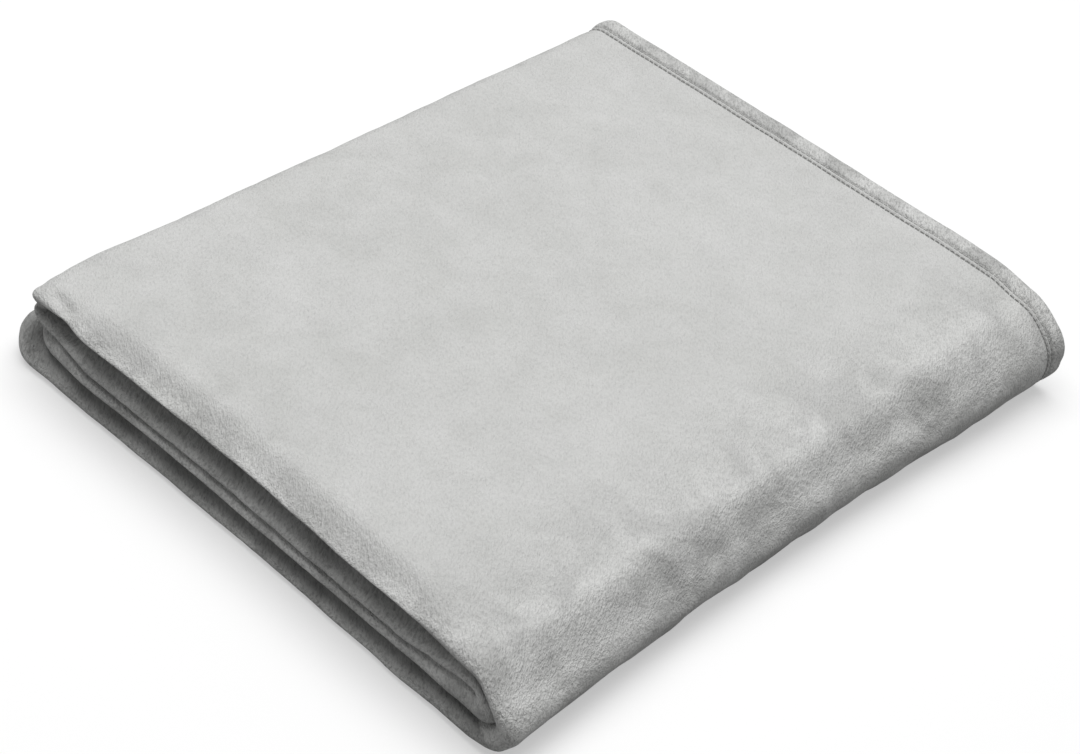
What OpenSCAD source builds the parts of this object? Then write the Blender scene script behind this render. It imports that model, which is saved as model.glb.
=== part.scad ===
// A plush throw folded into a flat pack. The throw is one sheet. It is folded across its length first, then
// across it again, so that one leaf of the pack is four plies of cloth in one continuous run. The leaf strip
// is then folded twice across its width, which stacks four leaves: bottom, third, second and top.
// Origin: centre of the pack's bounding box, on the surface that it rests on. +X runs from the back fold to
// the outer fold, +Y from the rolled front face to the hem side, +Z up.

/* [Pack] */
// Reach of the pack along X, from the back fold to the outer fold
pack_reach = 390; // [300:1:480]
// Depth of the pack along Y, from the rolled front face to the long hems
pack_depth = 490; // [380:1:600]
// How far the bottom leaf's free end runs out past the back fold
bottom_overhang = 14; // [2:1:30]
// How far the third leaf's free end stays inside the back fold
third_setback = 8; // [0:1:30]

/* [Cloth] */
// Height that one ply of the pressed plush takes in the pack
ply_pitch = 4; // [3:0.1:5]
// Clearance between two plies that lie on each other
ply_gap = 0.35; // [0.3:0.05:0.6]

/* [Hem] */
// Width of the turned edge
hem_w = 17; // [12:1:24]
// Slit between the two layers of a turned edge
hem_slit = 0.3; // [0.2:0.05:0.5]

/* [Stitching] */
// Distance of the outer needle row from the folded edge of the hem
row_outer = 12.3; // [9:0.1:12.5]
// Distance of the inner needle row from the folded edge of the hem
row_inner = 15.5; // [15:0.1:16]
// Distance from one stitch to the next
stitch_pitch = 3.9; // [3:0.1:6]
// Length of thread that shows in one stitch
stitch_len = 3; // [2:0.1:5]
// Width of the thread
thread_w = 0.8; // [0.5:0.1:1]
// Depth of the groove that the thread pulls into the plush
groove_depth = 0.9; // [0.6:0.1:1.2]

/* [Hidden] */
$fn = 64;
SIDE_PLIES = 4;
LEAVES = 4;
leaf_t = SIDE_PLIES * ply_pitch;
ply_t = ply_pitch - ply_gap;
// Half of the clearance lies outside each leaf's faces, so the pack is let down by that much to rest at 0
face_clear = ply_gap / 2;
bottom_z = -face_clear;
middle_z = bottom_z + 2 * leaf_t;
top_z = bottom_z + LEAVES * leaf_t;

total_x = pack_reach + bottom_overhang;
outer_x = total_x / 2;
bottom_end_x = -total_x / 2;
back_x = bottom_end_x + bottom_overhang;
third_end_x = back_x + third_setback;
// The lines that the sheet turns about
outer_r = 2 * leaf_t;
outer_axis_x = outer_x - outer_r + face_clear;
outer_axis_z = middle_z;
back_axis_x = back_x + leaf_t - face_clear;
back_axis_z = top_z - leaf_t;

front_y = -pack_depth / 2;
hem_y = pack_depth / 2;
// Where the flat plies meet the rolls at the front and at the hem side
front_roll_y = front_y + leaf_t / 2 - face_clear;
hem_roll_y = hem_y - ply_pitch;

cloth_colour = "gainsboro";
hem_colour = "lightgray";
thread_colour = "dimgray";

// ---- Outlines of the leaf, drawn with the depth of the pack across and the leaf's own thickness up.
// Height 0 is the cloth's face side, which is outermost on the top and bottom leaves.

// The lower edge of a ply, counted from the face side
function ply_low(k) = k * ply_pitch + face_clear;

// Half a ring of cloth where the sheet turns back on itself: side is -1 at the front and 1 at the hem side
module turn_outline(y, height, plies, side) {
    r = plies * ply_pitch - face_clear;
    translate([y, height]) intersection() {
        difference() {
            circle(r);
            circle(r - ply_t);
        }
        translate([side > 0 ? 0 : -r, -r]) square([r, 2 * r]);
    }
}

module front_rolls_outline() {
    turn_outline(front_roll_y, leaf_t / 2, 2, -1);
    turn_outline(front_roll_y, leaf_t / 2, 1, -1);
}

module hem_roll_outline() {
    turn_outline(hem_roll_y, leaf_t - ply_pitch, 1, 1);
}

// The sheet's whole run across a leaf: face ply, front roll, back ply, hem-side roll, two inner plies
module leaf_outline() {
    hemmed = hem_y - hem_w - front_roll_y;
    rolled = hem_roll_y - front_roll_y;
    for (k = [0 : SIDE_PLIES - 1])
        translate([front_roll_y, ply_low(k)]) square([k < 2 ? hemmed : rolled, ply_t]);
    front_rolls_outline();
    hem_roll_outline();
}

// A turned edge: two pressed layers joined round the edge, with a groove under each needle row
module hem_outline(grooves) {
    r = ply_t / 2;
    difference() {
        union() {
            translate([-hem_w, 0]) square([hem_w - r, ply_t]);
            translate([-r, r]) circle(r);
        }
        translate([-hem_w - 1, r - hem_slit / 2]) square([hem_w + 1 - r, hem_slit]);
        if (grooves) for (row = [row_inner, row_outer])
            translate([-row - thread_w, -1]) square([2 * thread_w, 1 + groove_depth]);
    }
}

module long_hem_outline(k, grooves) {
    translate([hem_y, ply_low(k)]) hem_outline(grooves);
}

// ---- Ways that an outline becomes cloth

// A flat stretch from x0 to x1. flipped puts the face side up, at height z_face.
module flat_stretch(x0, x1, z_face, flipped) {
    translate([x0, 0, z_face]) rotate([90, 0, 90]) linear_extrude(x1 - x0)
        if (flipped) mirror([0, 1]) children();
        else children();
}

// A half turn about a line along Y. side is 1 when it faces +X. face_r is the radius of the face side,
// and inward is 1 when the plies stack from there towards the line.
module half_turn(x, z, side, face_r, inward) {
    translate([x, 0, z]) rotate([-90, 0, 0]) rotate([0, 0, side > 0 ? -90 : 90])
        rotate_extrude(angle = 180, $fn = 96)
            translate([face_r, 0]) rotate(90)
                if (inward) children();
                else mirror([0, 1]) children();
}

module on_bottom_leaf() { flat_stretch(bottom_end_x + hem_w, outer_axis_x, bottom_z, false) children(); }
module on_third_leaf() { flat_stretch(third_end_x + hem_w, outer_axis_x, middle_z, true) children(); }
module on_second_leaf() { flat_stretch(back_axis_x, outer_axis_x, middle_z, false) children(); }
module on_top_leaf() { flat_stretch(back_axis_x, outer_axis_x, top_z, true) children(); }
module on_outer_fold() { half_turn(outer_axis_x, outer_axis_z, 1, outer_r, true) children(); }
module on_inner_fold() { half_turn(outer_axis_x, outer_axis_z, 1, 0, false) children(); }
module on_back_fold() { half_turn(back_axis_x, back_axis_z, -1, leaf_t, true) children(); }

// ---- End hems: one turned edge for each ply at a free end, and the rolls that run on to that end
module end_rolls(x_end, z_face, flipped) {
    flat_stretch(x_end, x_end + hem_w, z_face, flipped) {
        front_rolls_outline();
        hem_roll_outline();
    }
}

module end_hem(x_end, z_face, flipped) {
    for (k = [0 : SIDE_PLIES - 1]) {
        z_low = flipped ? z_face - ply_low(k) - ply_t : z_face + ply_low(k);
        run = (k < 2 ? hem_y : hem_roll_y) - front_roll_y;
        translate([x_end, front_roll_y + run, z_low]) rotate([90, 0, 0]) linear_extrude(run)
            mirror([1, 0]) hem_outline(false);
    }
}

// ---- Stitches: both needle rows of a face hem
module thread_rows_outline() {
    for (row = [row_inner, row_outer])
        translate([hem_y - row - thread_w / 2, ply_low(0)]) square([thread_w, groove_depth]);
}

module flat_stitches(x0, x1, z_face, flipped) {
    count = floor((x1 - x0) / stitch_pitch);
    first = x0 + ((x1 - x0) - (count - 1) * stitch_pitch - stitch_len) / 2;
    for (i = [0 : count - 1])
        flat_stretch(first + i * stitch_pitch, first + i * stitch_pitch + stitch_len, z_face, flipped)
            thread_rows_outline();
}

module turned_stitches(x, z, side, face_r, inward) {
    row_r = inward ? face_r - face_clear : face_r + face_clear + groove_depth;
    count = max(1, floor(PI * row_r / stitch_pitch));
    step = 180 / count;
    sweep = step * stitch_len / stitch_pitch;
    for (i = [0 : count - 1])
        translate([x, 0, z]) rotate([-90, 0, 0])
            rotate([0, 0, (side > 0 ? -90 : 90) + i * step + (step - sweep) / 2])
                rotate_extrude(angle = sweep, $fn = 96)
                    translate([face_r, 0]) rotate(90)
                        if (inward) thread_rows_outline();
                        else mirror([0, 1]) thread_rows_outline();
}

// ---- Nodes: the cloth
module bottom_leaf() {
    color(cloth_colour) {
        on_bottom_leaf() leaf_outline();
        end_rolls(bottom_end_x, bottom_z, false);
    }
}

module third_leaf() {
    color(cloth_colour) {
        on_third_leaf() leaf_outline();
        end_rolls(third_end_x, middle_z, true);
    }
}

module second_leaf() { color(cloth_colour) on_second_leaf() leaf_outline(); }
module top_leaf() { color(cloth_colour) on_top_leaf() leaf_outline(); }
module outer_fold() { color(cloth_colour) on_outer_fold() leaf_outline(); }
module inner_fold() { color(cloth_colour) on_inner_fold() leaf_outline(); }
module back_fold() { color(cloth_colour) on_back_fold() leaf_outline(); }

// ---- Nodes: the long hems, with the stitched face hem outside and the inner hem under it
module bottom_leaf_face_hem() { color(hem_colour) on_bottom_leaf() long_hem_outline(0, true); }
module third_leaf_face_hem() { color(hem_colour) on_third_leaf() long_hem_outline(0, true); }
module second_leaf_face_hem() { color(hem_colour) on_second_leaf() long_hem_outline(0, true); }
module top_leaf_face_hem() { color(hem_colour) on_top_leaf() long_hem_outline(0, true); }
module outer_fold_face_hem() { color(hem_colour) on_outer_fold() long_hem_outline(0, true); }
module inner_fold_face_hem() { color(hem_colour) on_inner_fold() long_hem_outline(0, true); }
module back_fold_face_hem() { color(hem_colour) on_back_fold() long_hem_outline(0, true); }
module bottom_leaf_inner_hem() { color(hem_colour) on_bottom_leaf() long_hem_outline(1, false); }
module third_leaf_inner_hem() { color(hem_colour) on_third_leaf() long_hem_outline(1, false); }
module second_leaf_inner_hem() { color(hem_colour) on_second_leaf() long_hem_outline(1, false); }
module top_leaf_inner_hem() { color(hem_colour) on_top_leaf() long_hem_outline(1, false); }
module outer_fold_inner_hem() { color(hem_colour) on_outer_fold() long_hem_outline(1, false); }
module inner_fold_inner_hem() { color(hem_colour) on_inner_fold() long_hem_outline(1, false); }
module back_fold_inner_hem() { color(hem_colour) on_back_fold() long_hem_outline(1, false); }

// ---- Nodes: the end hems of the two free ends
module bottom_leaf_end_hem() { color(hem_colour) end_hem(bottom_end_x, bottom_z, false); }
module third_leaf_end_hem() { color(hem_colour) end_hem(third_end_x, middle_z, true); }

// ---- Nodes: the stitches
module bottom_leaf_stitches() {
    color(thread_colour) flat_stitches(bottom_end_x + hem_w, outer_axis_x, bottom_z, false);
}

module third_leaf_stitches() {
    color(thread_colour) flat_stitches(third_end_x + hem_w, outer_axis_x, middle_z, true);
}

module second_leaf_stitches() {
    color(thread_colour) flat_stitches(back_axis_x, outer_axis_x, middle_z, false);
}

module top_leaf_stitches() {
    color(thread_colour) flat_stitches(back_axis_x, outer_axis_x, top_z, true);
}

module outer_fold_stitches() {
    color(thread_colour) turned_stitches(outer_axis_x, outer_axis_z, 1, outer_r, true);
}

module inner_fold_stitches() {
    color(thread_colour) turned_stitches(outer_axis_x, outer_axis_z, 1, 0, false);
}

module back_fold_stitches() {
    color(thread_colour) turned_stitches(back_axis_x, back_axis_z, -1, leaf_t, true);
}

bottom_leaf();
third_leaf();
second_leaf();
top_leaf();
outer_fold();
inner_fold();
back_fold();
bottom_leaf_face_hem();
third_leaf_face_hem();
second_leaf_face_hem();
top_leaf_face_hem();
outer_fold_face_hem();
inner_fold_face_hem();
back_fold_face_hem();
bottom_leaf_inner_hem();
third_leaf_inner_hem();
second_leaf_inner_hem();
top_leaf_inner_hem();
outer_fold_inner_hem();
inner_fold_inner_hem();
back_fold_inner_hem();
bottom_leaf_end_hem();
third_leaf_end_hem();
bottom_leaf_stitches();
third_leaf_stitches();
second_leaf_stitches();
top_leaf_stitches();
outer_fold_stitches();
inner_fold_stitches();
back_fold_stitches();
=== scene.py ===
"""A plush throw folded into a flat pack of four leaves, with sewn hems.

The throw is one sheet. Each point of it has a place s along the strip of leaves and folds, a row across
the sheet, and a side. Those give its place in the evenly pressed pack that the CAD describes. settled() then
moves it to where soft cloth comes to rest, and the piece's mesh is made there. Lengths are in millimetres
until a mesh is made.
"""
import math
from types import SimpleNamespace

import bpy
import numpy as np
from mathutils import Matrix, Vector


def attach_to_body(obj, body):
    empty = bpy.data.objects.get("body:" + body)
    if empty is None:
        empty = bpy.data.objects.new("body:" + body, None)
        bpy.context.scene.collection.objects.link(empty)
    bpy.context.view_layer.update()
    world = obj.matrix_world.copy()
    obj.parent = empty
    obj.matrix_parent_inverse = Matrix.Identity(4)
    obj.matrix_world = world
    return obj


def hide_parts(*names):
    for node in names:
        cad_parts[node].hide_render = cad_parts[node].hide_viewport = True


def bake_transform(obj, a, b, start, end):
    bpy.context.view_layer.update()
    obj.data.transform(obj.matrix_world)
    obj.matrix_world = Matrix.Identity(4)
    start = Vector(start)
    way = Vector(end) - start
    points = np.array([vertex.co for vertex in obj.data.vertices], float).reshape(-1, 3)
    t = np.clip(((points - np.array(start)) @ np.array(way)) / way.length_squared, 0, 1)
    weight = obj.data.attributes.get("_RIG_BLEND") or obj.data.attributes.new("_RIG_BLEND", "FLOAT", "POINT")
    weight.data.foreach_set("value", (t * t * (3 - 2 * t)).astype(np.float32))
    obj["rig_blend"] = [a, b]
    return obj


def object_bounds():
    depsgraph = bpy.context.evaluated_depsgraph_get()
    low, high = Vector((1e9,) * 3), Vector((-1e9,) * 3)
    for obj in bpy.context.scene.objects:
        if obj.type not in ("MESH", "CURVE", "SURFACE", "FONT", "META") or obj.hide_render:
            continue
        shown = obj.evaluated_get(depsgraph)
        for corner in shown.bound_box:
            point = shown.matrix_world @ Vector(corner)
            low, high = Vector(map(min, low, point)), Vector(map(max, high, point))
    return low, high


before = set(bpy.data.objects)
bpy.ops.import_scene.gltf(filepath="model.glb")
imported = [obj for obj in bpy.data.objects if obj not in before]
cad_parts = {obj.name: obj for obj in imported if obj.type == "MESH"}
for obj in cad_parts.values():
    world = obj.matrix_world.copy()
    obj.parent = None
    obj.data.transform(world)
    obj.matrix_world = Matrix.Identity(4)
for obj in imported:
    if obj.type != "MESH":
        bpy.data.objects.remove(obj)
cad_low, cad_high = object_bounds()

MM = 0.001

# ---- The pack, as in the CAD
GAP = 0.35                              # between plies that press on each other
PLIES = 16                              # four leaves of four plies each
PLY = round((cad_high[2] / MM + GAP) / PLIES, 2)    # one ply with its gap
HALF_PLY = (PLY - GAP) / 2
LEAF = 4 * PLY
LOW_Z = -GAP / 2
MIDDLE_Z = LOW_Z + 2 * LEAF
TOP_Z = LOW_Z + 4 * LEAF

HEM_Y = round(cad_high[1] / MM, 1)      # the hems' side of the pack
HEM_ROLL_Y = HEM_Y - PLY                # where the plies meet their rolls there
FRONT_Y = -HEM_Y + LEAF / 2 - GAP / 2   # and at the front
END_X = round(cad_low[0] / MM, 1)       # the bottom leaf's free end
THIRD_END_X = END_X + 22                # the third leaf's free end
AXIS_X = -END_X - 2 * LEAF + GAP / 2    # the outer and inner folds turn about this line
BACK_X = END_X + 14 + LEAF - GAP / 2    # and the back fold about this one
BACK_Z = TOP_Z - LEAF

HEM = 17.0                              # width of the turned edge
ROW_OUTER, ROW_INNER = 12.3, 15.5       # the needle rows, from the sheet's edge
STITCH_PITCH, STITCH_LENGTH, THREAD = 3.9, 3.4, 0.8
GROOVE = 0.9                            # how deep the thread draws the plush in
SHORT = 0.02                            # how far the leaves stop short of the hinge
PILE_DEPTH, HIDDEN_PILE_DEPTH = 0.34, 0.16      # how deep the pile's relief is, outside and on the inner side

# The strip's runs, with each run's length at the middle of a leaf's thickness
RUNS = (
    ("bottom_leaf", AXIS_X - END_X),
    ("outer_fold", math.pi * 1.5 * LEAF),
    ("top_leaf", AXIS_X - BACK_X),
    ("back_fold", math.pi * 0.5 * LEAF),
    ("second_leaf", AXIS_X - BACK_X),
    ("inner_fold", math.pi * 0.5 * LEAF),
    ("third_leaf", AXIS_X - THIRD_END_X),
)
STARTS = np.concatenate([[0.0], np.cumsum([length for _, length in RUNS])])
TOTAL = STARTS[-1]
NAMES = [name for name, _ in RUNS]
LOWER = {"bottom_leaf", "third_leaf"}
UPPER = {"top_leaf", "second_leaf", "back_fold"}
# Length of a fold over its length at the leaf's middle: its outermost skin, and the skin with the face hem
OUTER_ARC = {"outer_fold": 4 / 3, "back_fold": 2.0, "inner_fold": 2.0}
FACE_ARC = {"outer_fold": 4 / 3, "back_fold": 2.0, "inner_fold": 0.02}


# ---- The camera
AZIMUTH, ELEVATION, ROLL = 35.26, 39.07, 11.88      # degrees
AIM, DISTANCE = (0.0004, -0.0074, 0), 1.568         # metres
LENS = 88.3


def make_camera():
    """A long lens, from above the near corner, rolled a little."""
    azimuth, elevation, roll = (math.radians(a) for a in (AZIMUTH, ELEVATION, ROLL))
    back = Vector((math.cos(elevation) * math.sin(azimuth), -math.cos(elevation) * math.cos(azimuth),
                   math.sin(elevation)))
    right = Vector((math.cos(azimuth), math.sin(azimuth), 0))
    up = back.cross(right)
    across = right * math.cos(roll) + up * math.sin(roll)
    upward = up * math.cos(roll) - right * math.sin(roll)
    camera = bpy.data.cameras.new("camera")
    camera.lens = LENS
    camera.sensor_width = 36
    camera.clip_start, camera.clip_end = 0.05, 20
    seen = bpy.data.objects.new("camera", camera)
    seen.matrix_world = Matrix((across, upward, back)).transposed().to_4x4()
    seen.matrix_world.translation = Vector(AIM) + back * DISTANCE
    bpy.context.scene.collection.objects.link(seen)
    bpy.context.scene.camera = seen


# ---- Helpers
def ramp(x, low, high):
    """0 before low, 1 after high, smooth between them."""
    t = np.clip((x - low) / (high - low), 0, 1)
    return t * t * (3 - 2 * t)


def bump(x, centre, width):
    """A soft hill of height 1."""
    return np.exp(-((x - centre) / width) ** 2)


def unit(v):
    return v / np.maximum(np.linalg.norm(v, axis=-1, keepdims=True), 1e-9)


def noise(p, cell, seed):
    """Smooth noise from -1 to 1 with blobs about one cell across."""
    size = 32
    table = np.random.default_rng(seed).uniform(-1, 1, (size, size, size))
    q = p / np.asarray(cell, float)
    low = np.floor(q)
    f = q - low
    f = f * f * (3 - 2 * f)
    i = low.astype(np.int64) % size
    j = (i + 1) % size
    total = 0.0
    for a in (0, 1):
        for b in (0, 1):
            for c in (0, 1):
                at = table[(j if a else i)[..., 0], (j if b else i)[..., 1], (j if c else i)[..., 2]]
                weight = ((f[..., 0] if a else 1 - f[..., 0]) * (f[..., 1] if b else 1 - f[..., 1])
                          * (f[..., 2] if c else 1 - f[..., 2]))
                total = total + at * weight
    return total


# ---- The evenly pressed pack
def pressed(s, y, w):
    """Place of a point at s along the strip, y across it, and w below the leaf's face side."""
    s, y, w = np.broadcast_arrays(s, y, w)
    x, z = np.zeros(s.shape), np.zeros(s.shape)
    run = np.clip(np.searchsorted(STARTS, s, side="right") - 1, 0, len(RUNS) - 1)
    t = s - STARTS[run]

    def turn(number, axis_x, axis_z, radius, side, way):
        m = run == number
        angle = way * (math.pi * t[m] / RUNS[number][1] - math.pi / 2)
        r = radius(w[m])
        x[m] = axis_x + side * r * np.cos(angle)
        z[m] = axis_z + r * np.sin(angle)

    m = run == 0
    x[m], z[m] = END_X + t[m], LOW_Z + w[m]
    turn(1, AXIS_X, MIDDLE_Z, lambda k: 2 * LEAF - k, 1, 1)
    m = run == 2
    x[m], z[m] = AXIS_X - t[m], TOP_Z - w[m]
    turn(3, BACK_X, BACK_Z, lambda k: LEAF - k, -1, -1)
    m = run == 4
    x[m], z[m] = BACK_X + t[m], MIDDLE_Z + w[m]
    turn(5, AXIS_X, MIDDLE_Z, lambda k: k, 1, -1)
    m = run == 6
    x[m], z[m] = AXIS_X - t[m], MIDDLE_Z - w[m]
    return np.stack([x, y, z], -1)


# ---- How soft cloth settles
LEAF_LEVELS = LOW_Z + LEAF * np.arange(5)
# Heights of the leaves' edges at the front: along most of it, and at the back fold's corner
FRONT_LEVELS = np.array([LOW_Z, 18.0, 25.5, 50.0, 65.0])
CORNER_LEVELS = np.array([LOW_Z, 16.0, 31.0, 45.0, 58.5])
# How far back each leaf's rolled front lies, bottom to top, and how far it leans back over its own height
BACK_STEP = np.array([0.2, 1.0, 2.5, -1.0])
LEAN = np.array([4.0, 5.0, 12.0, 6.0])
# The same two at the back fold's corner
CORNER_STEP = np.array([1.0, 5.0, 5.5, 4.0])
CORNER_LEAN = np.array([5.0, 4.0, 6.0, -4.0])
# The share of each leaf's height that hangs down over its roll
DROOP = np.array([0.45, 0.10, 0.50, 0.62])
# Where the crease of the top leaf's turned corner starts, and which way it runs
CREASE_X, CREASE_Y = -184.0, -234.0
CREASE_ACROSS, CREASE_DOWN = 0.97, 0.24
# The free ends of the bottom and third leaf: where each starts to round off, and the height of its middle
ROUNDED_ENDS = ((0, -185.0, 16.0), (1, -163.0, 23.0))
ROUNDED_REACH = 17.0


def where(p):
    """Places in the even pack, with the leaf that each is in, its height in that leaf and over the middle of
    the pack, and how near it is to the front and to the back fold's corner."""
    at = SimpleNamespace(x=p[..., 0], y=p[..., 1], z=p[..., 2])
    at.leaf = np.clip(((at.z - LOW_Z) // LEAF).astype(int), 0, 3)
    at.height = (at.z - LOW_Z) / LEAF - at.leaf
    at.above = np.clip((at.z - MIDDLE_Z) / (TOP_Z - MIDDLE_Z), 0, 1)
    at.off_middle = np.minimum(1, np.abs(at.z - MIDDLE_Z) / 12)
    at.front = ramp(-at.y, 178, 234)
    at.corner = 1 - ramp(at.x, -178, -128)
    return at


def levelled(z, corner):
    """Heights in the even pack, moved to the leaves' levels at the front."""
    along_front = np.interp(z, LEAF_LEVELS, FRONT_LEVELS)
    return along_front * (1 - corner) + np.interp(z, LEAF_LEVELS, CORNER_LEVELS) * corner


def hang_fronts(at, to):
    """Soft leaves are thick and thin along the front, and their rolled fronts hang."""
    floor = levelled(LEAF_LEVELS[at.leaf], at.corner)
    droop = DROOP[at.leaf] * ramp(-at.y, 224, 246) ** 2
    droop = droop * (1 - 0.5 * at.corner) * (1 - 0.4 * bump(at.x, -155, 16))
    level = floor + (levelled(at.z, at.corner) - floor) * (1 - droop)
    to.z = to.z + at.front * (1 - ramp(at.x, 110, 166)) * (level - at.z)
    lean = (BACK_STEP[at.leaf] + LEAN[at.leaf] * (at.height - 0.35)) * (1 - ramp(at.x, 148, 186))
    corner_lean = CORNER_STEP[at.leaf] + CORNER_LEAN[at.leaf] * (at.height - 0.5)
    to.y = to.y + (lean * (1 - at.corner) + corner_lean * at.corner) * ramp(-at.y, 205, 237)


def turn_corner(at, to):
    """At the back fold's corner the top leaf's front turns down, under a crease and over a pocket."""
    third, second, top = (at.leaf == number for number in (1, 2, 3))
    east, north = at.x - CREASE_X, at.y - CREASE_Y
    along = east * CREASE_ACROSS - north * CREASE_DOWN
    off = east * CREASE_DOWN + north * CREASE_ACROSS
    valley = bump(off, 0, 3.8) * ramp(along, 4, 18) * (1 - ramp(along, 24, 38))
    valley = valley * ramp(at.height, 0.1, 0.9) * top
    to.z = to.z - 3.0 * valley
    to.y = to.y + 1.5 * valley
    # the flap's lower edge is lifted, and under it the second leaf draws in
    near_front = ramp(-at.y, 212, 236)
    to.z = to.z + 3.0 * bump(at.x, -154, 10) * near_front * top * (1 - at.height)
    pocket = bump(at.x, -158, 10) * near_front * second
    to.z = to.z - 4.5 * pocket * ramp(at.height, 0.2, 0.9)
    to.y = to.y + 12.0 * pocket * ramp(at.height, 0.1, 0.8)
    # the tip is square and pinched thin
    square = (3.5 * ramp(-at.x, 160, 188) * ramp(-at.y, 140, 215) * (1 - 0.5 * ramp(-at.y, 225, 240))
              + 2.5 * ramp(-at.x, 166, 186) * ramp(-at.y, 232, 245))
    to.x = to.x - square * bump(at.z, 55, 9) * (at.z > MIDDLE_Z)
    at_tip = ramp(-at.y, 200, 238)
    to.x = to.x - 4.0 * ramp(-at.x, 166, 188) * at_tip * second * ramp(at.height, 0.1, 0.6)
    to.x = to.x - 5.0 * ramp(-at.x, 158, 180) * at_tip * third
    pinch = 0.32 * bump(at.z, 46.5, 4.5) * ramp(-at.y, 210, 236)
    to.x = to.x + pinch * np.maximum(BACK_X - at.x, 0)


def sag_at_fold(at, to):
    """The top slopes down to the outer fold, whose nose hangs low, less so under the stiff hem."""
    slope = ramp(at.x, 105, 190) * (0.30 - 0.25 * ramp(at.y, 60, 238))
    to.z = np.where(to.z > MIDDLE_Z, MIDDLE_Z + (to.z - MIDDLE_Z) * (1 - slope), to.z)
    nose = (11.0 - 4.0 * ramp(at.y, 90, 235)) * ramp(at.x, 168, 193)
    to.z = to.z - nose * np.clip(at.z / MIDDLE_Z, 0, 1)
    beside_nose = ramp(at.x, 146, 172) * (1 - ramp(at.x, 170, 190))
    to.z = to.z - 3.2 * beside_nose * ramp(at.y, 120, 235) * at.above
    # its underside lies flat a little further out, and it is a little hollow along its length
    to.x = to.x + 4.0 * bump(at.z, 4, 8) * ramp(at.x, 171, 190)
    to.x = to.x - 7.0 * ramp(at.x, 171, 200) * np.clip(1 - ((at.y + 25) / 215) ** 2, 0, 1)
    # the front runs out a little towards it
    to.y = to.y - 6.0 * ramp(at.x, -60, 200) * ramp(-at.y, 120, 236)


def round_ends(at, to):
    """The bottom leaf's free end swells where nothing presses on it, and both free ends are rounded off."""
    swell = ramp(-at.x, 179, 192) * (at.leaf == 0) * (0.45 + 0.45 * ramp(-at.y, 60, 220))
    to.z = to.z + to.z * swell
    for leaf, from_x, middle in ROUNDED_ENDS:
        tapered = np.clip((from_x - at.x) / ROUNDED_REACH, 0, 1) ** 2 * (at.leaf == leaf)
        to.z = to.z + (middle - to.z) * 0.60 * tapered
        to.y = to.y - (to.y + 205) * 0.28 * tapered * ramp(-at.y, 205, 240)


def ripple(at, to):
    """Long soft waves, more of them higher up and round the outer fold."""
    q = np.stack([at.x, at.y, at.z * 0.5], -1)
    high_up = at.above ** 2
    to.z = to.z + high_up * (0.8 * noise(q, 95, 3) + 0.3 * noise(q, 38, 4) - 0.6)
    # puckers along the hem
    puckers = bump(at.y, 212, 15) * ramp(at.x, -150, 40) * high_up
    to.z = to.z + puckers * (1.0 * noise(q, (30, 17, 30), 10) - 0.4)
    # dents where the cloth goes round
    outside = ramp(at.x, 100, 172) * at.off_middle
    dents = 1.7 * noise(q, (34, 28, 24), 7) + 0.45 * noise(q, 15, 8)
    to.z = to.z + outside * high_up * dents
    to.x = to.x + 1.2 * outside * ramp(at.x, 175, 195) * dents
    # the front and the hems' side
    waves = 1.1 * noise(q, (70, 60, 14), 5) + 0.4 * noise(q, (24, 40, 14), 9)
    to.y = to.y + at.front * waves * at.off_middle
    to.y = to.y + ramp(at.y, 190, 240) * at.off_middle * (1.3 * noise(q, (90, 60, 9), 6) - 0.6)
    # a soft dip and ridge behind the top leaf's front lip
    beside = ramp(at.x, -90, -20) * (1 - ramp(at.x, 100, 160)) * high_up
    to.z = to.z + beside * (0.9 * bump(at.y, -190, 12) - 1.0 * bump(at.y, -208, 10))


def settled(p):
    """Where points of the pressed pack come to rest."""
    at = where(p)
    to = SimpleNamespace(x=at.x, y=at.y, z=at.z)
    for move in (hang_fronts, turn_corner, sag_at_fold, round_ends, ripple):
        move(at, to)
    return np.stack([to.x, to.y, to.z], -1)


# ---- Rows across the sheet
def flat_rows(y0, y1, w, face, step):
    """Rows of a flat ply. face is 1 or -1, the side of it that the sheet's face side is on."""
    count = max(1, round(abs(y1 - y0) / step))
    return [(y, w, 0.0, face) for y in np.linspace(y0, y1, count + 1)]


def turn_rows(y, w, radius, first, last, outside, count):
    """Rows round a roll. outside is 1 where the sheet's face side looks out of the roll, and -1 where in."""
    angles = np.radians(np.linspace(first, last, count + 1))
    return [(y + radius * math.cos(a), w + radius * math.sin(a), outside * math.cos(a), outside * math.sin(a))
            for a in angles]


def sheet_rows(edge_y, fine, coarse):
    """Rows from the face hem to the inner hem: y and w of the cloth's middle, and the way its face looks."""
    parts = (
        flat_rows(edge_y, FRONT_Y, 0.5 * PLY, -1, fine),
        turn_rows(FRONT_Y, LEAF / 2, 1.5 * PLY, -90, -270, 1, 14),
        flat_rows(FRONT_Y, HEM_ROLL_Y, 3.5 * PLY, 1, coarse),
        turn_rows(HEM_ROLL_Y, 3 * PLY, 0.5 * PLY, 90, -90, 1, 8),
        flat_rows(HEM_ROLL_Y, FRONT_Y, 2.5 * PLY, -1, coarse),
        turn_rows(FRONT_Y, LEAF / 2, 0.5 * PLY, 90, 270, -1, 8),
        flat_rows(FRONT_Y, edge_y, 1.5 * PLY, 1, coarse),
    )
    rows = list(parts[0])
    for part in parts[1:]:
        rows += part[1:]
    return np.array(rows)


def extended(rows):
    """The rows with two more at either end, which only help to find the slope there."""
    before, after = rows[0] - rows[1], rows[-1] - rows[-2]
    return np.concatenate([[rows[0] + 2 * before, rows[0] + before], rows,
                           [rows[-1] + after, rows[-1] + 2 * after]])


# ---- The relief of the plush
def puffed(s):
    """1 where a face hem lies free on the outside of the pack, 0 where it is pressed inside or underneath."""
    a, b, c, d = STARTS[1], STARTS[2], STARTS[3], STARTS[4]
    return ramp(s, a, b) * (1 - ramp(s, c, d))


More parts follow.
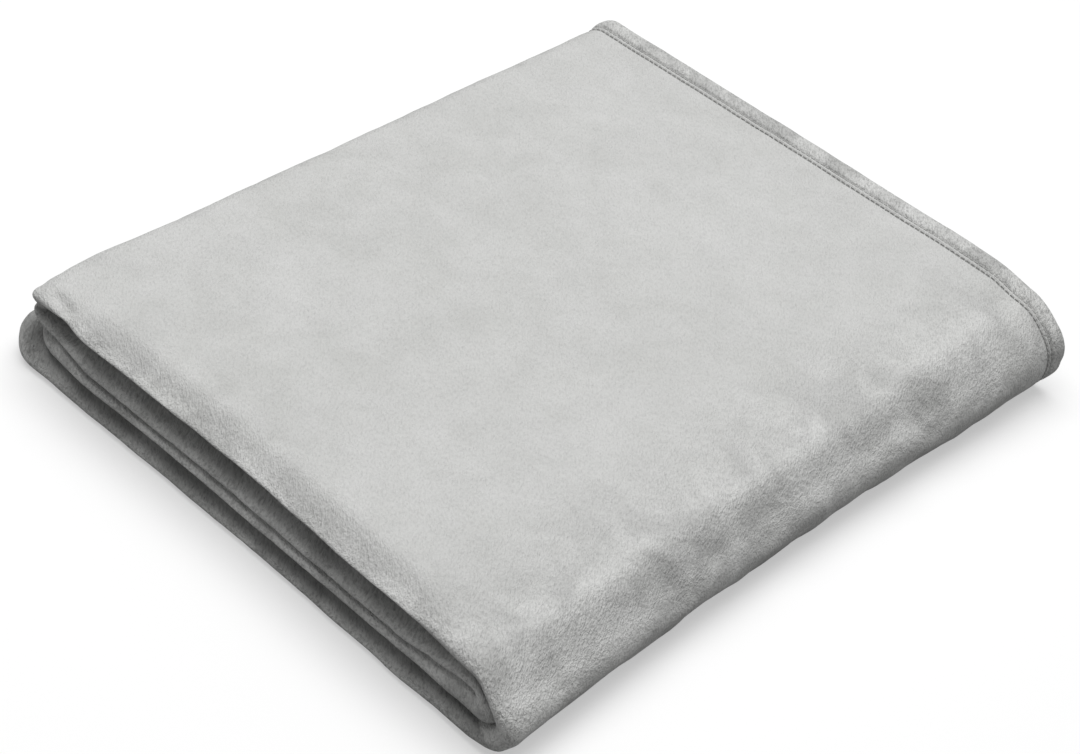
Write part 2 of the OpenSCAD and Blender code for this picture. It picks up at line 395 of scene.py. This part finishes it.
def stitch_wave(s):
    """-1 at the middle of a stitch and 1 where the needle went down."""
    return -np.cos(2 * math.pi * (s / STITCH_PITCH - 0.5))


def hem_relief(s, y, face_row):
    """Height of a face hem over the pressed level: grooves under the needle rows, a puffy band outside them,
    and a low welt between them."""
    inland = HEM_Y - y
    pull = 0.92 + 0.08 * stitch_wave(s)
    grooves = 1.50 * bump(inland, ROW_INNER, 0.85) + 1.15 * bump(inland, ROW_OUTER, 0.75)
    band = 2.3 * np.sqrt(np.clip(1 - ((inland - 5.3) / 6.6) ** 2, 0, 1))
    welt = 0.3 * bump(inland, (ROW_OUTER + ROW_INNER) / 2, 1.1)
    drawn_in = 0.6 * np.exp(-np.clip(inland - ROW_INNER, 0, 99) / 7.0) * (inland > ROW_INNER)
    return (puffed(s) * (band + welt - drawn_in) - GROOVE * pull * grooves) * face_row


def pile_relief(p, depth):
    """Clumps in the pile. It never rises over the pressed level, so neighbours stay clear."""
    n = 0.70 * noise(p, 15, 11) + 0.35 * noise(p, 6.2, 12) + 0.15 * noise(p, 3.1, 13)
    return depth * (np.clip(n, -1.3, 1.3) - 1.3)


def opened(p):
    """0 where the pile lies closed, 1 where a bend parts its tufts: at the folds, the rolls and the hem."""
    x, y, z = p[..., 0], p[..., 1], p[..., 2]
    front = (0.25 * ramp(-y, 205, 235) + 0.75 * ramp(-y, 238, 245)) * (1 - 0.6 * ramp(z, 48, 58))
    folds = 0.45 * ramp(x, 110, 190) + 0.4 * ramp(-x, 170, 190)
    return np.clip(folds + front + 0.8 * ramp(y, HEM_Y - 13, HEM_Y - 11), 0, 1)


def painted_gap_shade(p):
    """Painted shade: 1 on the upper side of the bottom and second leaf's rolled fronts, in the gap under the
    leaf that lies further out, where shade falls. It fades round the folds, which lie in the open."""
    x, y, z = p[..., 0], p[..., 1], p[..., 2]
    height = (z - LOW_Z) / LEAF
    upper_side = ramp(height, 0.30, 1.0) * (height < 1.0) + ramp(height, 2.30, 3.0) * (height < 3.0)
    return upper_side * ramp(-y, 215, 235) * (1 - ramp(x, 178, 194))


# ---- Skins and shells
def skin(s, rows, side, thick=1.0, plain=False, before=True, after=True):
    """Places, outward normals and texture places of one side of the cloth. side is 1 for the face side.
    s and rows hold two more steps at each open end, which are cut off again."""
    y, w, ny, nw = (rows[:, i][:, None] for i in range(4))
    face_row = (np.abs(w - 0.5 * PLY) < 0.01) & (y > 150)
    relief = hem_relief(s[None, :], y, face_row) if side > 0 else 0.0
    off = side * (HALF_PLY * thick + relief)
    rest = pressed(s[None, :], y + ny * off, w + nw * off)
    # everything that can be seen from outside or at the opening is the face side
    lift = side * pile_relief(rest, HIDDEN_PILE_DEPTH if plain or side < 0 else PILE_DEPTH)
    spot = settled(pressed(s[None, :], y + ny * (off + lift), w + nw * (off + lift)))
    along = np.gradient(spot, axis=1)
    across = np.gradient(spot, axis=0)
    normal = unit(np.cross(along, across) * side)
    a = 2 if before else 0
    b = -2 if after else None
    return spot[a:b, 2:-2], normal[a:b, 2:-2], rest[a:b, 2:-2]


def weld(low, top, low_normals, top_normals, at):
    """Makes two skins share a row or column of points, and the normals there."""
    low[at] = top[at]
    top_normals[at] = low_normals[at] = unit(top_normals[at] + low_normals[at])


def quads(grid, flip):
    """The quads between the points of a grid, turned over where flip says so."""
    corners = [grid[:-1, :-1], grid[:-1, 1:], grid[1:, 1:], grid[1:, :-1]]
    return np.stack(corners[::-1] if flip else corners, -1).reshape(-1, 4)


def rim_polygons(top, low, ratio):
    """What closes the gap round two skins: quads at the ends of the run, and fans of triangles along its
    sides, from ratio face points to each back point. Where the skins are welded, what has no area is left
    out."""
    blocks = [
        np.stack([top[:-1, 0], top[1:, 0], low[1:, 0], low[:-1, 0]], -1),
        np.stack([top[1:, -1], top[:-1, -1], low[:-1, -1], low[1:, -1]], -1),
    ]
    for row in (0, -1):
        many, few = top[row], low[row]
        fan = [many[:-1], many[1:]]
        base = [few[:-1], few[1:]]
        if row == 0:
            fan.reverse()
        else:
            base.reverse()
        blocks.append(np.stack(fan + [np.repeat(few[:-1], ratio)], -1))
        blocks.append(np.stack([many[ratio::ratio]] + base, -1))
    polygons = [[v for i, v in enumerate(q) if v != q[i - 1]] for block in blocks for q in block.tolist()]
    return [q for q in polygons if len(q) > 2]


def shell(name, face, back, ratio=1, weld_row_end=False, weld_column=None):
    """A closed mesh from a face skin and a back skin. The back has one column for each ratio face columns.
    Where the cloth ends in a rounded edge, the two skins share their last row or one of their end columns."""
    (face_places, face_normals, face_texture), (back_places, back_normals, back_texture) = face, back
    rows, columns = face_places.shape[:2]
    top = np.arange(rows * columns).reshape(rows, columns)
    low = rows * columns + np.arange(rows * back_places.shape[1]).reshape(rows, -1)
    if weld_row_end:
        weld(low, top, back_normals, face_normals, -1)
    if weld_column is not None:
        weld(low, top, back_normals, face_normals, (slice(None), weld_column))
    places, texture, normals = (np.concatenate([a.reshape(-1, 3), b.reshape(-1, 3)]) for a, b in (
        (face_places, back_places), (face_texture, back_texture), (face_normals, back_normals)))

    smooth = np.concatenate([quads(top, False), quads(low, True)])
    rim = rim_polygons(top, low, ratio)
    rim_sizes = [len(q) for q in rim]
    a, b, c = (places[[q[i] for q in rim]] for i in range(3))
    rim_normals = np.repeat(unit(np.cross(b - a, c - a)), rim_sizes, axis=0)
    corners = np.concatenate([smooth.ravel(), np.concatenate(rim)])
    used, loop_vertices = np.unique(corners, return_inverse=True)
    return new_mesh(name, places[used], loop_vertices, np.array([4] * len(smooth) + rim_sizes), texture[used],
                    np.concatenate([normals[smooth.ravel()], rim_normals]))


def new_mesh(name, places, loop_vertices, sizes, texture, loop_normals=None):
    """A mesh object from flat arrays, with places in millimetres. texture holds each point's place in the
    even pack, which the materials use."""
    mesh = bpy.data.meshes.new(name)
    mesh.vertices.add(len(places))
    mesh.vertices.foreach_set("co", (places * MM).astype(np.float32).ravel())
    mesh.loops.add(len(loop_vertices))
    mesh.loops.foreach_set("vertex_index", loop_vertices.astype(np.int32))
    mesh.polygons.add(len(sizes))
    starts = np.concatenate([[0], np.cumsum(sizes)[:-1]])
    mesh.polygons.foreach_set("loop_start", starts.astype(np.int32))
    mesh.polygons.foreach_set("loop_total", sizes.astype(np.int32))
    mesh.update(calc_edges=True)
    mesh.polygons.foreach_set("use_smooth", np.ones(len(sizes), bool))
    spot = mesh.attributes.new("pile_place", "FLOAT_VECTOR", "POINT")
    spot.data.foreach_set("vector", (texture * MM).astype(np.float32).ravel())
    # pile_open is where a bend parts the tufts; the other is a painted shade in the gaps between the leaves'
    # rolled fronts
    for attribute, values in (("pile_open", opened(texture)), ("painted_shade", painted_gap_shade(texture))):
        made = mesh.attributes.new(attribute, "FLOAT", "POINT")
        made.data.foreach_set("value", values.astype(np.float32))
    if loop_normals is not None:
        mesh.normals_split_custom_set(loop_normals.astype(np.float32))
    mesh.validate(verbose=False)
    made = bpy.data.objects.new(name, mesh)
    bpy.context.scene.collection.objects.link(made)
    return made


# ---- Stations along the strip
def stations(first, last, step, multiple=1):
    """Evenly spaced places along the strip, with two more beyond either end."""
    count = max(multiple, multiple * math.ceil((last - first) / step / multiple))
    gap = (last - first) / count
    return first + gap * np.arange(-2, count + 3)


def stations_back(s, ratio):
    """The stations of the back skin, one for each ratio of the face skin's."""
    inner = s[2:-2][::ratio]
    gap = inner[1] - inner[0]
    return inner[0] + gap * np.arange(-2, len(inner) + 2)


# Mesh steps: along what shows, along what lies inside, and the back skin's step over the face skin's
FINE = 2.0
COARSE = 12.0
HEM_FINE = 1.0
BACK_RATIO = 4


def span(name):
    """First and last place along the strip of one piece's cloth, less the end hems. The leaves stop just
    short of the hinge, so that the two halves don't meet when they are open."""
    i = NAMES.index(name)
    first, last = STARTS[i], STARTS[i + 1]
    if name in ("top_leaf", "third_leaf"):
        first += SHORT
    if name in ("bottom_leaf", "second_leaf"):
        last -= SHORT
    if name == NAMES[0]:
        first += HEM
    if name == NAMES[-1]:
        last -= HEM
    return first, last


def cloth(name):
    """The plush between the hems: four plies of one leaf or fold, in one continuous run."""
    first, last = span(name)
    s = stations(first, last, FINE / OUTER_ARC.get(name, 1), BACK_RATIO)
    rows = extended(sheet_rows(HEM_Y - HEM, FINE, COARSE))
    return shell("plush_" + name, skin(s, rows, 1), skin(stations_back(s, BACK_RATIO), rows, -1), BACK_RATIO)


def edge_rows(w, face, stitched):
    """Rows of a long hem, from where it meets the plush to its folded edge, and how thick it is at each."""
    start, last = HEM_Y - HEM, HEM_Y - HALF_PLY
    if stitched:
        close = HEM_Y - ROW_OUTER + 1.5
        flat = np.concatenate([np.linspace(start, close, 17)[:-1], np.linspace(close, last, 17)])
    else:
        flat = np.linspace(start, last, 12)
    step = flat[1] - flat[0]
    angle = np.radians(np.linspace(0, 90, 8))[1:]
    y = np.concatenate([[start - 2 * step, start - step], flat, last + HALF_PLY * np.sin(angle)])
    thick = np.concatenate([np.ones(len(flat) + 2), np.maximum(np.cos(angle), 0)])
    rows = np.stack([y, np.full(len(y), w), np.zeros(len(y)), np.full(len(y), face)], -1)
    return rows, thick[:, None]


def long_hem(name, inner):
    """The turned edge along one run of the strip: the stitched face hem, or the plain one under it."""
    first, last = span(name)
    s = stations(first, last, (2.0 if inner else HEM_FINE) / OUTER_ARC.get(name, 1))
    rows, thick = edge_rows(1.5 * PLY if inner else 0.5 * PLY, 1.0 if inner else -1.0, not inner)
    face = skin(s, rows, 1, thick, plain=inner, after=False)
    back = skin(s, rows, -1, thick, plain=True, after=False)
    return shell(("hem_inner_" if inner else "hem_face_") + name, face, back, weld_row_end=True)


def end_hem(name):
    """The turned edge at a free end. It follows all four plies and the rolls between them."""
    at_start = name == NAMES[0]
    angle = np.radians(np.linspace(90, 0, 8))[:-1]
    flat = np.linspace(HALF_PLY, HEM, 9)
    step = flat[-1] - flat[-2]
    rounded = HALF_PLY * (1 - np.sin(angle))
    inland = np.concatenate([[-2e-3, -1e-3], rounded, flat, [HEM + step, HEM + 2 * step]])
    thick_s = np.concatenate([[0, 0], np.maximum(np.cos(angle), 0), np.ones(len(flat) + 2)])
    s = inland if at_start else (TOTAL - inland)[::-1]
    if not at_start:
        thick_s = thick_s[::-1]
    # where the edge meets the sheet's corners it is rounded too
    rows = sheet_rows(HEM_Y - HALF_PLY, FINE, COARSE)
    cap = np.radians(np.linspace(0, 90, 6))[1:]
    first, last = (row.repeat(len(cap), 0) for row in (rows[:1], rows[-1:]))
    cap_y = HALF_PLY * np.sin(cap)
    first[:, 0] += cap_y[::-1]
    last[:, 0] += cap_y
    thick_rows = np.concatenate([np.cos(cap)[::-1], np.ones(len(rows)), np.cos(cap)])
    rows = np.concatenate([first, rows, last])
    thick = np.maximum(thick_rows[:, None] * thick_s[None, :], 0.02)
    face = skin(s, rows, 1, thick, before=False, after=False)
    back = skin(s, rows, -1, thick, before=False, after=False)
    return shell("hem_end_" + name, face, back, weld_column=0 if at_start else -1)


# ---- Stitches
def stitch_line(name):
    """Middle of each stitch along one run, and the pitch there. They keep their pitch on the face side."""
    first, last = span(name)
    count = max(1, math.floor((last - first) * FACE_ARC.get(name, 1.0) / STITCH_PITCH))
    pitch = (last - first) / count
    return first + pitch * (np.arange(count) + 0.5), pitch


def tube_loops(base, ring, steps):
    """Polygons of a closed tube of rings, whose points start at base."""
    loops = []
    for i in range(steps - 1):
        for k in range(ring):
            a, b = base + i * ring + k, base + i * ring + (k + 1) % ring
            loops.append((a, b, b + ring, a + ring))
    loops.append(tuple(base + k for k in reversed(range(ring))))
    loops.append(tuple(base + (steps - 1) * ring + k for k in range(ring)))
    return loops


def stitches(name):
    """Both needle rows of a face hem, one small rounded bar of thread for each stitch."""
    middles, pitch = stitch_line(name)
    ring, steps = 8, 7
    around = (2 * math.pi * np.arange(ring) / ring)[None, :]
    profile = np.linspace(-1, 1, steps)[:, None]
    half = 0.5 * STITCH_LENGTH / STITCH_PITCH * pitch
    radius = 0.5 * THREAD * np.sqrt(np.clip(1 - profile ** 6, 0.05, 1))
    # the thread lies in its groove and dives in at both ends
    level = HALF_PLY - GROOVE * 0.80 + 0.12 - 0.75 * np.abs(profile) ** 5
    places, loops = [], []
    for row in (ROW_INNER, ROW_OUTER):
        for n, middle in enumerate(middles):
            sway = 0.12 * math.sin(12.9898 * n + 78.233 * row)
            spots = settled(pressed(middle + profile * half,
                                    HEM_Y - row + sway * profile + radius * np.cos(around),
                                    0.5 * PLY - (level + 0.8 * radius * np.sin(around))))
            loops += tube_loops(len(places) * ring * steps, ring, steps)
            places.append(spots.reshape(-1, 3))
    places = np.concatenate(places)
    sizes = np.array([len(q) for q in loops])
    return new_mesh("thread_" + name, places, np.concatenate(loops), sizes, places)


# ---- Materials
def nodes_of(name):
    """A new material, its node tree and its shader."""
    material = bpy.data.materials.new(name)
    material.use_nodes = True
    tree = material.node_tree
    return material, tree, tree.nodes["Principled BSDF"]


def link(tree, a, b):
    tree.links.new(a, b)


def attribute_node(tree, name):
    node = tree.nodes.new("ShaderNodeAttribute")
    node.attribute_name = name
    return node


def math_node(tree, kind, a, b, clamp=False):
    """One step of arithmetic. a and b are sockets or numbers."""
    node = tree.nodes.new("ShaderNodeMath")
    node.operation = kind
    node.use_clamp = clamp
    for socket, value in zip(node.inputs, (a, b)):
        if isinstance(value, (int, float)):
            socket.default_value = value
        else:
            link(tree, value, socket)
    return node.outputs[0]


def total_node(tree, *terms, start=None, clamp=False):
    """The sum of (socket, share) terms, and of start where it is given."""
    total = start
    for socket, share in terms:
        part = math_node(tree, "MULTIPLY", socket, share)
        total = part if total is None else math_node(tree, "ADD", total, part, clamp)
    return total


def noise_node(tree, vector, scale, detail=2.0, rough=0.5, distortion=0.0):
    node = tree.nodes.new("ShaderNodeTexNoise")
    node.inputs["Scale"].default_value = scale
    node.inputs["Detail"].default_value = detail
    node.inputs["Roughness"].default_value = rough
    node.inputs["Distortion"].default_value = distortion
    link(tree, vector, node.inputs["Vector"])
    return node.outputs["Fac"]


def ramp_node(tree, value, stops):
    """A colour ramp. Each stop is (where, colour), and a colour is red, green and blue or one grey number."""
    node = tree.nodes.new("ShaderNodeValToRGB")
    elements = node.color_ramp.elements
    while len(elements) < len(stops):
        elements.new(0.5)
    for element, (at, colour) in zip(elements, stops):
        element.position = at
        element.color = (*(colour if isinstance(colour, tuple) else [colour] * 3), 1)
    link(tree, value, node.inputs["Fac"])
    return node.outputs["Color"]


def mix_colour(tree, kind, amount, a, b):
    node = tree.nodes.new("ShaderNodeMix")
    node.data_type = "RGBA"
    node.blend_type = kind
    if isinstance(amount, (int, float)):
        node.inputs[0].default_value = amount
    else:
        link(tree, amount, node.inputs[0])
    for socket, value in ((node.inputs[6], a), (node.inputs[7], b)):
        if isinstance(value, tuple):
            socket.default_value = (*value, 1)
        else:
            link(tree, value, socket)
    return node.outputs[2]


def bump_node(tree, shader, height, distance, strength):
    """Relief in the shader. strength is a socket or a number."""
    relief = tree.nodes.new("ShaderNodeBump")
    relief.inputs["Distance"].default_value = distance
    if isinstance(strength, float):
        relief.inputs["Strength"].default_value = strength
    else:
        link(tree, strength, relief.inputs["Strength"])
    link(tree, height, relief.inputs["Height"])
    link(tree, relief.outputs["Normal"], shader.inputs["Normal"])


def stroked(tree, place):
    """The cloth's own place, stretched so that noise makes short strokes the way the nap runs."""
    turn = tree.nodes.new("ShaderNodeMapping")
    turn.vector_type = "POINT"
    turn.inputs["Rotation"].default_value = (0, 0, math.radians(-43))
    link(tree, place, turn.inputs["Vector"])
    stretch = tree.nodes.new("ShaderNodeMapping")
    stretch.inputs["Scale"].default_value = (1.0, 0.42, 0.42)
    link(tree, turn.outputs["Vector"], stretch.inputs["Vector"])
    return stretch.outputs["Vector"]


# Colours of the plush where the nap lies away from the light, between, and towards it: the nap's patches are
# its own, their light and dark a painted sheen
NAP_SHADED, NAP_HALF_LIT, NAP_LIT = (0.500, 0.503, 0.490), (0.538, 0.540, 0.530), (0.572, 0.573, 0.566)
# near black, for the painted shade in the gaps between the leaves' rolled fronts
PAINTED_SHADE_COLOUR = (0.02, 0.02, 0.02)
THREAD_DARK, THREAD_LIGHT = (0.32, 0.32, 0.315), (0.45, 0.45, 0.44)


def plush_material(name):
    """Short pile raised by brushing: soft patches and streaked bends where the nap lies differently, painted
    lighter and darker as a painted sheen, fine strokes, sheen, and a painted shade in the gaps between the
    leaves' rolled fronts.
    """
    material, tree, shader = nodes_of(name)
    place = attribute_node(tree, "pile_place").outputs["Vector"]
    parted = attribute_node(tree, "pile_open").outputs["Fac"]
    # the painted shade in the gaps between the leaves' rolled fronts
    shade = attribute_node(tree, "painted_shade").outputs["Fac"]
    along_nap = stroked(tree, place)
    clouds = noise_node(tree, place, 9, 3, 0.55, 0.4)
    streaks = noise_node(tree, place, 27, 2, 0.55, 0.8)
    patches = noise_node(tree, place, 38, 3, 0.6, 0.3)
    clumps = noise_node(tree, along_nap, 430, 1, 0.5)
    strokes = noise_node(tree, along_nap, 860, 2, 0.6)
    tufts = noise_node(tree, along_nap, 1900, 1, 0.5)

    # patches where the nap lies differently, painted lighter and darker as a painted sheen
    tone = total_node(tree, (clouds, 0.40), (patches, 0.60))
    colour = ramp_node(tree, tone, [(0.28, NAP_SHADED), (0.50, NAP_HALF_LIT), (0.74, NAP_LIT)])
    # dark gaps between tufts, deepest where a bend parts them
    gaps = total_node(tree, (strokes, 0.8), (clumps, 0.2))
    fleck = ramp_node(tree, gaps, [(0.34, 0.60), (0.48, 0.98), (0.62, 1.16)])
    colour = mix_colour(tree, "MULTIPLY", total_node(tree, (parted, 0.50), start=0.21), colour, fleck)
    # where the cloth bends, a hand has left the nap lying streaked, and it is painted some lighter and some
    # darker as a painted sheen
    painted_sheen_streak = ramp_node(tree, streaks, [(0.40, 0.84), (0.50, 0.99), (0.60, 1.12)])
    sheen_streak_amount = total_node(tree, (parted, 1.7), start=0.12, clamp=True)
    colour = mix_colour(tree, "MULTIPLY", sheen_streak_amount, colour, painted_sheen_streak)
    # painted shade: the upper sides of the bottom and second leaf's rolled fronts turn towards near black, up
    # to 0.54 of the way
    colour = mix_colour(tree, "MIX", total_node(tree, (shade, 0.54)), colour, PAINTED_SHADE_COLOUR)
    link(tree, colour, shader.inputs["Base Color"])

    link(tree, total_node(tree, (patches, 0.25), start=0.72, clamp=True), shader.inputs["Roughness"])
    shader.inputs["Specular IOR Level"].default_value = 0.25
    shader.inputs["Sheen Weight"].default_value = 0.30
    shader.inputs["Sheen Roughness"].default_value = 0.45
    shader.inputs["Sheen Tint"].default_value = (0.93, 0.94, 0.93, 1)
    height = total_node(tree, (strokes, 1.0), (tufts, 0.45), (patches, 1.6))
    bump_node(tree, shader, height, 0.0016, total_node(tree, (parted, 0.40), start=0.60))
    return material


def thread_material():
    """Matt polyester thread, a shade darker than the plush, with a fine twist."""
    material, tree, shader = nodes_of("sewing_thread")
    place = attribute_node(tree, "pile_place").outputs["Vector"]
    twist = tree.nodes.new("ShaderNodeTexWave")
    twist.inputs["Scale"].default_value = 900
    twist.inputs["Distortion"].default_value = 1.5
    twist.bands_direction = "DIAGONAL"
    link(tree, place, twist.inputs["Vector"])
    colour = ramp_node(tree, twist.outputs["Fac"], [(0.2, THREAD_DARK), (0.8, THREAD_LIGHT)])
    link(tree, colour, shader.inputs["Base Color"])
    shader.inputs["Roughness"].default_value = 0.65
    shader.inputs["Sheen Weight"].default_value = 0.15
    bump_node(tree, shader, twist.outputs["Fac"], 0.0002, 0.5)
    return material


# ---- The stage
FLOOR_Z = -0.0006                       # metres, just clear of the pack's underside
FLOOR_SIZE = 14
FLOOR_SEEN, FLOOR_BOUNCE = 0.90, 0.30   # how pale the floor looks, and how much light it throws back
FLOOR_GLOW = 0.45                       # how far its own shadows are lit up
WORLD_LIGHT, WORLD_SEEN = 0.245, 0.34   # the soft light from all round, and what the backdrop adds to it
LAMP_PLACE, LAMP_SIZE, LAMP_POWER = (-0.30, 0.16, 2.3), (2.4, 2.2), 66


def grey(value):
    return value, value, value, 1


def mixed_shader(tree, amount, a, b):
    """A mix of two shader sockets. amount is a socket or a number."""
    node = tree.nodes.new("ShaderNodeMixShader")
    if isinstance(amount, float):
        node.inputs[0].default_value = amount
    else:
        link(tree, amount, node.inputs[0])
    link(tree, a, node.inputs[1])
    link(tree, b, node.inputs[2])
    return node.outputs[0]


def camera_ray(tree):
    return tree.nodes.new("ShaderNodeLightPath").outputs["Is Camera Ray"]


def make_stage():
    """A plain pale floor with softened shadows. It throws back less light than it shows, as a small table
    would."""
    bpy.ops.mesh.primitive_plane_add(size=FLOOR_SIZE, location=(0, 0, FLOOR_Z))
    floor = bpy.context.object
    floor.name = "floor"
    material, tree, shader = nodes_of("floor_paper")
    shader.inputs["Base Color"].default_value = grey(FLOOR_SEEN)
    shader.inputs["Roughness"].default_value = 0.9
    dim = tree.nodes.new("ShaderNodeBsdfDiffuse")
    dim.inputs["Color"].default_value = grey(FLOOR_BOUNCE)
    glow = tree.nodes.new("ShaderNodeEmission")
    glow.inputs["Color"].default_value = grey(1)
    seen = mixed_shader(tree, FLOOR_GLOW, shader.outputs[0], glow.outputs[0])
    surface = mixed_shader(tree, camera_ray(tree), dim.outputs[0], seen)
    link(tree, surface, tree.nodes["Material Output"].inputs["Surface"])
    floor.data.materials.append(material)


def make_lights():
    """One large softbox overhead and an even world, which looks as pale as the floor's far end."""
    world = bpy.data.worlds.new("studio")
    world.use_nodes = True
    tree = world.node_tree
    backdrop = tree.nodes["Background"]
    backdrop.inputs["Color"].default_value = grey(1)
    level = total_node(tree, (camera_ray(tree), WORLD_SEEN), start=WORLD_LIGHT)
    link(tree, level, backdrop.inputs["Strength"])
    bpy.context.scene.world = world

    lamp = bpy.data.lights.new("overhead", "AREA")
    lamp.shape = "RECTANGLE"
    lamp.size, lamp.size_y = LAMP_SIZE
    lamp.energy = LAMP_POWER
    softbox = bpy.data.objects.new("overhead", lamp)
    softbox.location = LAMP_PLACE
    softbox.rotation_mode = "QUATERNION"
    softbox.rotation_quaternion = (-Vector(LAMP_PLACE)).to_track_quat("-Z", "Y")
    bpy.context.scene.collection.objects.link(softbox)
    view = bpy.context.scene.view_settings
    view.view_transform = "Standard"
    view.look = "None"


# ---- Putting it together
def even_turn(piece):
    """Makes every ply of a fold turn in step with its own angle round the hinge, so that the fold closes on
    itself as the upper half opens, and doesn't push into the leaves beside it."""
    mesh = piece.data
    co = np.zeros(len(mesh.vertices) * 3, np.float32)
    mesh.vertices.foreach_get("co", co)
    co = co.reshape(-1, 3) / MM
    angle = np.arctan2(co[:, 2] - MIDDLE_Z, np.maximum(co[:, 0] - AXIS_X, 0) + 1e-6)
    weight = np.clip(angle / math.pi + 0.5, 0, 1)
    mesh.attributes["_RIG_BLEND"].data.foreach_set("value", weight.astype(np.float32))


def attach(piece, run):
    """Makes a piece ride on its half of the pack, or on both where it goes round the hinge."""
    if run in LOWER:
        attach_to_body(piece, "lower_half")
    elif run in UPPER:
        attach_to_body(piece, "upper_half")
    else:
        reach = LEAF if run == "outer_fold" else 0.2 * PLY
        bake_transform(piece, "lower_half", "upper_half", start=(AXIS_X * MM, 0, (MIDDLE_Z - reach) * MM),
                 end=(AXIS_X * MM, 0, (MIDDLE_Z + reach) * MM))
        even_turn(piece)


def sheet_width():
    """The sheet's width between its long hems, along the middle of the cloth."""
    rows = sheet_rows(HEM_Y - HEM, FINE, FINE)
    return float(np.linalg.norm(np.diff(rows[:, :2], axis=0), axis=1).sum())


def build():
    plush = plush_material("plush_fleece")
    hem = plush_material("plush_hem")
    thread = thread_material()
    for run in NAMES:
        body = cloth(run)
        pieces = [
            (body, plush, "plush", run),
            (long_hem(run, False), hem, "hem", run + "_face_hem"),
            (long_hem(run, True), hem, "hem", run + "_inner_hem"),
        ]
        if run in (NAMES[0], NAMES[-1]):
            pieces.append((end_hem(run), hem, "hem", run + "_end_hem"))
        pieces.append((stitches(run), thread, "thread", run + "_stitches"))
        for piece, material, slot, node in pieces:
            piece.data.materials.append(material)
            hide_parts(node)
            attach(piece, run)
        # The plush of a run is flat between its hems: the strip's length by the sheet's width
        first, last = span(run)
        flat = ((last - first) * MM, sheet_width() * MM)


make_camera()
make_stage()
make_lights()
build()
